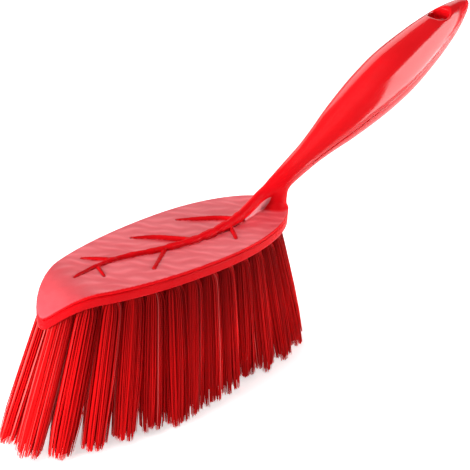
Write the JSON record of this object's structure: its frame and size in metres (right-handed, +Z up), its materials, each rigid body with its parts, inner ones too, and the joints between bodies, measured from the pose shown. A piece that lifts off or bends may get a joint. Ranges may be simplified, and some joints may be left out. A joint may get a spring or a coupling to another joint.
{
  "type": "hand duster brush",
  "caption": "Hand dusting brush: leaf-shaped head with branch relief, long flared trimmed tufts and a raised straight handle with a hang hole.",
  "frame": {"origin": "bottom centre of the whole brush: under the middle of its overall length, on the plane of the trimmed tuft ends", "axes": "+X from the leaf's tip towards the handle, +Y across the head, +Z up, from the tuft ends to the leaf's upper face"},
  "size_m": [0.2939, 0.0646, 0.1677],
  "materials": {
    "cover_plastic": "glossy injection-moulded red plastic with a lightly hammered leaf face",
    "grip_plastic": "smooth glossy red plastic",
    "block_plastic": "satin red plastic",
    "filament": "translucent red drawn filament",
    "anchor_wire": "drawn flat wire"
  },
  "bodies": {
    "head": {"leaf_cover": "cover_plastic", "handle_bottom_shell": "grip_plastic", "tuft_block": "block_plastic", "tuft_roots": "filament", "tuft_anchors": "anchor_wire"},
    "tuft_outer_01": {"tuft_outer_01": "filament"},
    "tuft_outer_02": {"tuft_outer_02": "filament"},
    "tuft_outer_03": {"tuft_outer_03": "filament"},
    "tuft_outer_04": {"tuft_outer_04": "filament"},
    "tuft_outer_05": {"tuft_outer_05": "filament"},
    "tuft_outer_06": {"tuft_outer_06": "filament"},
    "tuft_outer_07": {"tuft_outer_07": "filament"},
    "tuft_outer_08": {"tuft_outer_08": "filament"},
    "tuft_outer_09": {"tuft_outer_09": "filament"},
    "tuft_outer_10": {"tuft_outer_10": "filament"},
    "tuft_outer_11": {"tuft_outer_11": "filament"},
    "tuft_outer_12": {"tuft_outer_12": "filament"},
    "tuft_outer_13": {"tuft_outer_13": "filament"},
    "tuft_outer_14": {"tuft_outer_14": "filament"},
    "tuft_outer_15": {"tuft_outer_15": "filament"},
    "tuft_outer_16": {"tuft_outer_16": "filament"},
    "tuft_outer_17": {"tuft_outer_17": "filament"},
    "tuft_outer_18": {"tuft_outer_18": "filament"},
    "tuft_outer_19": {"tuft_outer_19": "filament"},
    "tuft_outer_20": {"tuft_outer_20": "filament"},
    "tuft_outer_21": {"tuft_outer_21": "filament"},
    "tuft_outer_22": {"tuft_outer_22": "filament"},
    "tuft_outer_23": {"tuft_outer_23": "filament"},
    "tuft_outer_24": {"tuft_outer_24": "filament"},
    "tuft_outer_25": {"tuft_outer_25": "filament"},
    "tuft_outer_26": {"tuft_outer_26": "filament"},
    "tuft_outer_27": {"tuft_outer_27": "filament"},
    "tuft_outer_28": {"tuft_outer_28": "filament"},
    "tuft_middle_01": {"tuft_middle_01": "filament"},
    "tuft_middle_02": {"tuft_middle_02": "filament"},
    "tuft_middle_03": {"tuft_middle_03": "filament"},
    "tuft_middle_04": {"tuft_middle_04": "filament"},
    "tuft_middle_05": {"tuft_middle_05": "filament"},
    "tuft_middle_06": {"tuft_middle_06": "filament"},
    "tuft_middle_07": {"tuft_middle_07": "filament"},
    "tuft_middle_08": {"tuft_middle_08": "filament"},
    "tuft_middle_09": {"tuft_middle_09": "filament"},
    "tuft_middle_10": {"tuft_middle_10": "filament"},
    "tuft_middle_11": {"tuft_middle_11": "filament"},
    "tuft_middle_12": {"tuft_middle_12": "filament"},
    "tuft_middle_13": {"tuft_middle_13": "filament"},
    "tuft_middle_14": {"tuft_middle_14": "filament"},
    "tuft_middle_15": {"tuft_middle_15": "filament"},
    "tuft_middle_16": {"tuft_middle_16": "filament"},
    "tuft_middle_17": {"tuft_middle_17": "filament"},
    "tuft_middle_18": {"tuft_middle_18": "filament"},
    "tuft_middle_19": {"tuft_middle_19": "filament"},
    "tuft_middle_20": {"tuft_middle_20": "filament"},
    "tuft_centre_01": {"tuft_centre_01": "filament"},
    "tuft_centre_02": {"tuft_centre_02": "filament"},
    "tuft_centre_03": {"tuft_centre_03": "filament"},
    "tuft_centre_04": {"tuft_centre_04": "filament"},
    "tuft_centre_05": {"tuft_centre_05": "filament"},
    "tuft_centre_06": {"tuft_centre_06": "filament"},
    "tuft_centre_07": {"tuft_centre_07": "filament"}
  },
  "joints": [
    {"name": "bristle_sweep", "type": "hinge", "parent": "head", "child": "tuft_outer_07", "pos_m": [-0.04908, 0.02171, 0.0768], "axis": [1, 0, 0], "range_deg": [-20, 20], "stiffness_Nm_per_rad": 0.015},
    {"name": "flex_outer_01", "type": "hinge", "parent": "head", "child": "tuft_outer_01", "pos_m": [0.0065, 0.00483, 0.0768], "axis": [1, 0, 0], "range_deg": [-20, 20], "stiffness_Nm_per_rad": 0.015},
    {"name": "flex_outer_02", "type": "hinge", "parent": "head", "child": "tuft_outer_02", "pos_m": [-0.00044, 0.01197, 0.0768], "axis": [1, 0, 0], "range_deg": [-20, 20], "stiffness_Nm_per_rad": 0.015},
    {"name": "flex_outer_03", "type": "hinge", "parent": "head", "child": "tuft_outer_03", "pos_m": [-0.00943, 0.01646, 0.0768], "axis": [1, 0, 0], "range_deg": [-20, 20], "stiffness_Nm_per_rad": 0.015},
    {"name": "flex_outer_04", "type": "hinge", "parent": "head", "child": "tuft_outer_04", "pos_m": [-0.01906, 0.01933, 0.0768], "axis": [1, 0, 0], "range_deg": [-20, 20], "stiffness_Nm_per_rad": 0.015},
    {"name": "flex_outer_05", "type": "hinge", "parent": "head", "child": "tuft_outer_05", "pos_m": [-0.02898, 0.02103, 0.0768], "axis": [1, 0, 0], "range_deg": [-20, 20], "stiffness_Nm_per_rad": 0.015},
    {"name": "flex_outer_06", "type": "hinge", "parent": "head", "child": "tuft_outer_06", "pos_m": [-0.03902, 0.02176, 0.0768], "axis": [1, 0, 0], "range_deg": [-20, 20], "stiffness_Nm_per_rad": 0.015},
    {"name": "flex_outer_08", "type": "hinge", "parent": "head", "child": "tuft_outer_08", "pos_m": [-0.05913, 0.02124, 0.0768], "axis": [1, 0, 0], "range_deg": [-20, 20], "stiffness_Nm_per_rad": 0.015},
    {"name": "flex_outer_09", "type": "hinge", "parent": "head", "child": "tuft_outer_09", "pos_m": [-0.06916, 0.02036, 0.0768], "axis": [1, 0, 0], "range_deg": [-20, 20], "stiffness_Nm_per_rad": 0.015},
    {"name": "flex_outer_10", "type": "hinge", "parent": "head", "child": "tuft_outer_10", "pos_m": [-0.07913, 0.01901, 0.0768], "axis": [1, 0, 0], "range_deg": [-20, 20], "stiffness_Nm_per_rad": 0.015},
    {"name": "flex_outer_11", "type": "hinge", "parent": "head", "child": "tuft_outer_11", "pos_m": [-0.08901, 0.0171, 0.0768], "axis": [1, 0, 0], "range_deg": [-20, 20], "stiffness_Nm_per_rad": 0.015},
    {"name": "flex_outer_12", "type": "hinge", "parent": "head", "child": "tuft_outer_12", "pos_m": [-0.09871, 0.01445, 0.0768], "axis": [1, 0, 0], "range_deg": [-20, 20], "stiffness_Nm_per_rad": 0.015},
    {"name": "flex_outer_13", "type": "hinge", "parent": "head", "child": "tuft_outer_13", "pos_m": [-0.10803, 0.01067, 0.07673], "axis": [1, 0, 0], "range_deg": [-20, 20], "stiffness_Nm_per_rad": 0.015},
    {"name": "flex_outer_14", "type": "hinge", "parent": "head", "child": "tuft_outer_14", "pos_m": [-0.11598, 0.00463, 0.0747], "axis": [1, 0, 0], "range_deg": [-20, 20], "stiffness_Nm_per_rad": 0.015},
    {"name": "flex_outer_15", "type": "hinge", "parent": "head", "child": "tuft_outer_15", "pos_m": [-0.11598, -0.00463, 0.0747], "axis": [1, 0, 0], "range_deg": [-20, 20], "stiffness_Nm_per_rad": 0.015},
    {"name": "flex_outer_16", "type": "hinge", "parent": "head", "child": "tuft_outer_16", "pos_m": [-0.10803, -0.01067, 0.07673], "axis": [1, 0, 0], "range_deg": [-20, 20], "stiffness_Nm_per_rad": 0.015},
    {"name": "flex_outer_17", "type": "hinge", "parent": "head", "child": "tuft_outer_17", "pos_m": [-0.09871, -0.01445, 0.0768], "axis": [1, 0, 0], "range_deg": [-20, 20], "stiffness_Nm_per_rad": 0.015},
    {"name": "flex_outer_18", "type": "hinge", "parent": "head", "child": "tuft_outer_18", "pos_m": [-0.08901, -0.0171, 0.0768], "axis": [1, 0, 0], "range_deg": [-20, 20], "stiffness_Nm_per_rad": 0.015},
    {"name": "flex_outer_19", "type": "hinge", "parent": "head", "child": "tuft_outer_19", "pos_m": [-0.07913, -0.01901, 0.0768], "axis": [1, 0, 0], "range_deg": [-20, 20], "stiffness_Nm_per_rad": 0.015},
    {"name": "flex_outer_20", "type": "hinge", "parent": "head", "child": "tuft_outer_20", "pos_m": [-0.06916, -0.02036, 0.0768], "axis": [1, 0, 0], "range_deg": [-20, 20], "stiffness_Nm_per_rad": 0.015},
    {"name": "flex_outer_21", "type": "hinge", "parent": "head", "child": "tuft_outer_21", "pos_m": [-0.05913, -0.02124, 0.0768], "axis": [1, 0, 0], "range_deg": [-20, 20], "stiffness_Nm_per_rad": 0.015},
    {"name": "flex_outer_22", "type": "hinge", "parent": "head", "child": "tuft_outer_22", "pos_m": [-0.04908, -0.02171, 0.0768], "axis": [1, 0, 0], "range_deg": [-20, 20], "stiffness_Nm_per_rad": 0.015},
    {"name": "flex_outer_23", "type": "hinge", "parent": "head", "child": "tuft_outer_23", "pos_m": [-0.03902, -0.02176, 0.0768], "axis": [1, 0, 0], "range_deg": [-20, 20], "stiffness_Nm_per_rad": 0.015},
    {"name": "flex_outer_24", "type": "hinge", "parent": "head", "child": "tuft_outer_24", "pos_m": [-0.02898, -0.02103, 0.0768], "axis": [1, 0, 0], "range_deg": [-20, 20], "stiffness_Nm_per_rad": 0.015},
    {"name": "flex_outer_25", "type": "hinge", "parent": "head", "child": "tuft_outer_25", "pos_m": [-0.01906, -0.01933, 0.0768], "axis": [1, 0, 0], "range_deg": [-20, 20], "stiffness_Nm_per_rad": 0.015},
    {"name": "flex_outer_26", "type": "hinge", "parent": "head", "child": "tuft_outer_26", "pos_m": [-0.00943, -0.01646, 0.0768], "axis": [1, 0, 0], "range_deg": [-20, 20], "stiffness_Nm_per_rad": 0.015},
    {"name": "flex_outer_27", "type": "hinge", "parent": "head", "child": "tuft_outer_27", "pos_m": [-0.00044, -0.01197, 0.0768], "axis": [1, 0, 0], "range_deg": [-20, 20], "stiffness_Nm_per_rad": 0.015},
    {"name": "flex_outer_28", "type": "hinge", "parent": "head", "child": "tuft_outer_28", "pos_m": [0.0065, -0.00483, 0.0768], "axis": [1, 0, 0], "range_deg": [-20, 20], "stiffness_Nm_per_rad": 0.015},
    {"name": "flex_middle_01", "type": "hinge", "parent": "head", "child": "tuft_middle_01", "pos_m": [-0.00514, 0.0047, 0.0768], "axis": [1, 0, 0], "range_deg": [-20, 20], "stiffness_Nm_per_rad": 0.015},
    {"name": "flex_middle_02", "type": "hinge", "parent": "head", "child": "tuft_middle_02", "pos_m": [-0.01532, 0.00946, 0.0768], "axis": [1, 0, 0], "range_deg": [-20, 20], "stiffness_Nm_per_rad": 0.015},
    {"name": "flex_middle_03", "type": "hinge", "parent": "head", "child": "tuft_middle_03", "pos_m": [-0.02637, 0.01175, 0.0768], "axis": [1, 0, 0], "range_deg": [-20, 20], "stiffness_Nm_per_rad": 0.015},
    {"name": "flex_middle_04", "type": "hinge", "parent": "head", "child": "tuft_middle_04", "pos_m": [-0.03763, 0.01272, 0.0768], "axis": [1, 0, 0], "range_deg": [-20, 20], "stiffness_Nm_per_rad": 0.015},
    {"name": "flex_middle_05", "type": "hinge", "parent": "head", "child": "tuft_middle_05", "pos_m": [-0.04893, 0.01273, 0.0768], "axis": [1, 0, 0], "range_deg": [-20, 20], "stiffness_Nm_per_rad": 0.015},
    {"name": "flex_middle_06", "type": "hinge", "parent": "head", "child": "tuft_middle_06", "pos_m": [-0.06022, 0.0123, 0.0768], "axis": [1, 0, 0], "range_deg": [-20, 20], "stiffness_Nm_per_rad": 0.015},
    {"name": "flex_middle_07", "type": "hinge", "parent": "head", "child": "tuft_middle_07", "pos_m": [-0.07149, 0.01145, 0.0768], "axis": [1, 0, 0], "range_deg": [-20, 20], "stiffness_Nm_per_rad": 0.015},
    {"name": "flex_middle_08", "type": "hinge", "parent": "head", "child": "tuft_middle_08", "pos_m": [-0.08271, 0.01007, 0.0768], "axis": [1, 0, 0], "range_deg": [-20, 20], "stiffness_Nm_per_rad": 0.015},
    {"name": "flex_middle_09", "type": "hinge", "parent": "head", "child": "tuft_middle_09", "pos_m": [-0.0938, 0.00792, 0.0768], "axis": [1, 0, 0], "range_deg": [-20, 20], "stiffness_Nm_per_rad": 0.015},
    {"name": "flex_middle_10", "type": "hinge", "parent": "head", "child": "tuft_middle_10", "pos_m": [-0.1044, 0.00412, 0.0768], "axis": [1, 0, 0], "range_deg": [-20, 20], "stiffness_Nm_per_rad": 0.015},
    {"name": "flex_middle_11", "type": "hinge", "parent": "head", "child": "tuft_middle_11", "pos_m": [-0.1044, -0.00412, 0.0768], "axis": [1, 0, 0], "range_deg": [-20, 20], "stiffness_Nm_per_rad": 0.015},
    {"name": "flex_middle_12", "type": "hinge", "parent": "head", "child": "tuft_middle_12", "pos_m": [-0.0938, -0.00792, 0.0768], "axis": [1, 0, 0], "range_deg": [-20, 20], "stiffness_Nm_per_rad": 0.015},
    {"name": "flex_middle_13", "type": "hinge", "parent": "head", "child": "tuft_middle_13", "pos_m": [-0.08271, -0.01007, 0.0768], "axis": [1, 0, 0], "range_deg": [-20, 20], "stiffness_Nm_per_rad": 0.015},
    {"name": "flex_middle_14", "type": "hinge", "parent": "head", "child": "tuft_middle_14", "pos_m": [-0.07149, -0.01145, 0.0768], "axis": [1, 0, 0], "range_deg": [-20, 20], "stiffness_Nm_per_rad": 0.015},
    {"name": "flex_middle_15", "type": "hinge", "parent": "head", "child": "tuft_middle_15", "pos_m": [-0.06022, -0.0123, 0.0768], "axis": [1, 0, 0], "range_deg": [-20, 20], "stiffness_Nm_per_rad": 0.015},
    {"name": "flex_middle_16", "type": "hinge", "parent": "head", "child": "tuft_middle_16", "pos_m": [-0.04893, -0.01273, 0.0768], "axis": [1, 0, 0], "range_deg": [-20, 20], "stiffness_Nm_per_rad": 0.015},
    {"name": "flex_middle_17", "type": "hinge", "parent": "head", "child": "tuft_middle_17", "pos_m": [-0.03763, -0.01272, 0.0768], "axis": [1, 0, 0], "range_deg": [-20, 20], "stiffness_Nm_per_rad": 0.015},
    {"name": "flex_middle_18", "type": "hinge", "parent": "head", "child": "tuft_middle_18", "pos_m": [-0.02637, -0.01175, 0.0768], "axis": [1, 0, 0], "range_deg": [-20, 20], "stiffness_Nm_per_rad": 0.015},
    {"name": "flex_middle_19", "type": "hinge", "parent": "head", "child": "tuft_middle_19", "pos_m": [-0.01532, -0.00946, 0.0768], "axis": [1, 0, 0], "range_deg": [-20, 20], "stiffness_Nm_per_rad": 0.015},
    {"name": "flex_middle_20", "type": "hinge", "parent": "head", "child": "tuft_middle_20", "pos_m": [-0.00514, -0.0047, 0.0768], "axis": [1, 0, 0], "range_deg": [-20, 20], "stiffness_Nm_per_rad": 0.015},
    {"name": "flex_centre_01", "type": "hinge", "parent": "head", "child": "tuft_centre_01", "pos_m": [-0.09026, 0, 0.0768], "axis": [1, 0, 0], "range_deg": [-20, 20], "stiffness_Nm_per_rad": 0.015},
    {"name": "flex_centre_02", "type": "hinge", "parent": "head", "child": "tuft_centre_02", "pos_m": [-0.07826, 0, 0.0768], "axis": [1, 0, 0], "range_deg": [-20, 20], "stiffness_Nm_per_rad": 0.015},
    {"name": "flex_centre_03", "type": "hinge", "parent": "head", "child": "tuft_centre_03", "pos_m": [-0.06626, 0, 0.0768], "axis": [1, 0, 0], "range_deg": [-20, 20], "stiffness_Nm_per_rad": 0.015},
    {"name": "flex_centre_04", "type": "hinge", "parent": "head", "child": "tuft_centre_04", "pos_m": [-0.05426, 0, 0.0768], "axis": [1, 0, 0], "range_deg": [-20, 20], "stiffness_Nm_per_rad": 0.015},
    {"name": "flex_centre_05", "type": "hinge", "parent": "head", "child": "tuft_centre_05", "pos_m": [-0.04226, 0, 0.0768], "axis": [1, 0, 0], "range_deg": [-20, 20], "stiffness_Nm_per_rad": 0.015},
    {"name": "flex_centre_06", "type": "hinge", "parent": "head", "child": "tuft_centre_06", "pos_m": [-0.03026, 0, 0.0768], "axis": [1, 0, 0], "range_deg": [-20, 20], "stiffness_Nm_per_rad": 0.015},
    {"name": "flex_centre_07", "type": "hinge", "parent": "head", "child": "tuft_centre_07", "pos_m": [-0.01826, 0, 0.0768], "axis": [1, 0, 0], "range_deg": [-20, 20], "stiffness_Nm_per_rad": 0.015}
  ],
  "couplings": [
    {"joint": "flex_outer_01", "follows": "bristle_sweep", "ratio": 1},
    {"joint": "flex_outer_02", "follows": "bristle_sweep", "ratio": 1},
    {"joint": "flex_outer_03", "follows": "bristle_sweep", "ratio": 1},
    {"joint": "flex_outer_04", "follows": "bristle_sweep", "ratio": 1},
    {"joint": "flex_outer_05", "follows": "bristle_sweep", "ratio": 1},
    {"joint": "flex_outer_06", "follows": "bristle_sweep", "ratio": 1},
    {"joint": "flex_outer_08", "follows": "bristle_sweep", "ratio": 1},
    {"joint": "flex_outer_09", "follows": "bristle_sweep", "ratio": 1},
    {"joint": "flex_outer_10", "follows": "bristle_sweep", "ratio": 1},
    {"joint": "flex_outer_11", "follows": "bristle_sweep", "ratio": 1},
    {"joint": "flex_outer_12", "follows": "bristle_sweep", "ratio": 1},
    {"joint": "flex_outer_13", "follows": "bristle_sweep", "ratio": 1},
    {"joint": "flex_outer_14", "follows": "bristle_sweep", "ratio": 1},
    {"joint": "flex_outer_15", "follows": "bristle_sweep", "ratio": 1},
    {"joint": "flex_outer_16", "follows": "bristle_sweep", "ratio": 1},
    {"joint": "flex_outer_17", "follows": "bristle_sweep", "ratio": 1},
    {"joint": "flex_outer_18", "follows": "bristle_sweep", "ratio": 1},
    {"joint": "flex_outer_19", "follows": "bristle_sweep", "ratio": 1},
    {"joint": "flex_outer_20", "follows": "bristle_sweep", "ratio": 1},
    {"joint": "flex_outer_21", "follows": "bristle_sweep", "ratio": 1},
    {"joint": "flex_outer_22", "follows": "bristle_sweep", "ratio": 1},
    {"joint": "flex_outer_23", "follows": "bristle_sweep", "ratio": 1},
    {"joint": "flex_outer_24", "follows": "bristle_sweep", "ratio": 1},
    {"joint": "flex_outer_25", "follows": "bristle_sweep", "ratio": 1},
    {"joint": "flex_outer_26", "follows": "bristle_sweep", "ratio": 1},
    {"joint": "flex_outer_27", "follows": "bristle_sweep", "ratio": 1},
    {"joint": "flex_outer_28", "follows": "bristle_sweep", "ratio": 1},
    {"joint": "flex_middle_01", "follows": "bristle_sweep", "ratio": 1},
    {"joint": "flex_middle_02", "follows": "bristle_sweep", "ratio": 1},
    {"joint": "flex_middle_03", "follows": "bristle_sweep", "ratio": 1},
    {"joint": "flex_middle_04", "follows": "bristle_sweep", "ratio": 1},
    {"joint": "flex_middle_05", "follows": "bristle_sweep", "ratio": 1},
    {"joint": "flex_middle_06", "follows": "bristle_sweep", "ratio": 1},
    {"joint": "flex_middle_07", "follows": "bristle_sweep", "ratio": 1},
    {"joint": "flex_middle_08", "follows": "bristle_sweep", "ratio": 1},
    {"joint": "flex_middle_09", "follows": "bristle_sweep", "ratio": 1},
    {"joint": "flex_middle_10", "follows": "bristle_sweep", "ratio": 1},
    {"joint": "flex_middle_11", "follows": "bristle_sweep", "ratio": 1},
    {"joint": "flex_middle_12", "follows": "bristle_sweep", "ratio": 1},
    {"joint": "flex_middle_13", "follows": "bristle_sweep", "ratio": 1},
    {"joint": "flex_middle_14", "follows": "bristle_sweep", "ratio": 1},
    {"joint": "flex_middle_15", "follows": "bristle_sweep", "ratio": 1},
    {"joint": "flex_middle_16", "follows": "bristle_sweep", "ratio": 1},
    {"joint": "flex_middle_17", "follows": "bristle_sweep", "ratio": 1},
    {"joint": "flex_middle_18", "follows": "bristle_sweep", "ratio": 1},
    {"joint": "flex_middle_19", "follows": "bristle_sweep", "ratio": 1},
    {"joint": "flex_middle_20", "follows": "bristle_sweep", "ratio": 1},
    {"joint": "flex_centre_01", "follows": "bristle_sweep", "ratio": 1},
    {"joint": "flex_centre_02", "follows": "bristle_sweep", "ratio": 1},
    {"joint": "flex_centre_03", "follows": "bristle_sweep", "ratio": 1},
    {"joint": "flex_centre_04", "follows": "bristle_sweep", "ratio": 1},
    {"joint": "flex_centre_05", "follows": "bristle_sweep", "ratio": 1},
    {"joint": "flex_centre_06", "follows": "bristle_sweep", "ratio": 1},
    {"joint": "flex_centre_07", "follows": "bristle_sweep", "ratio": 1}
  ]
}
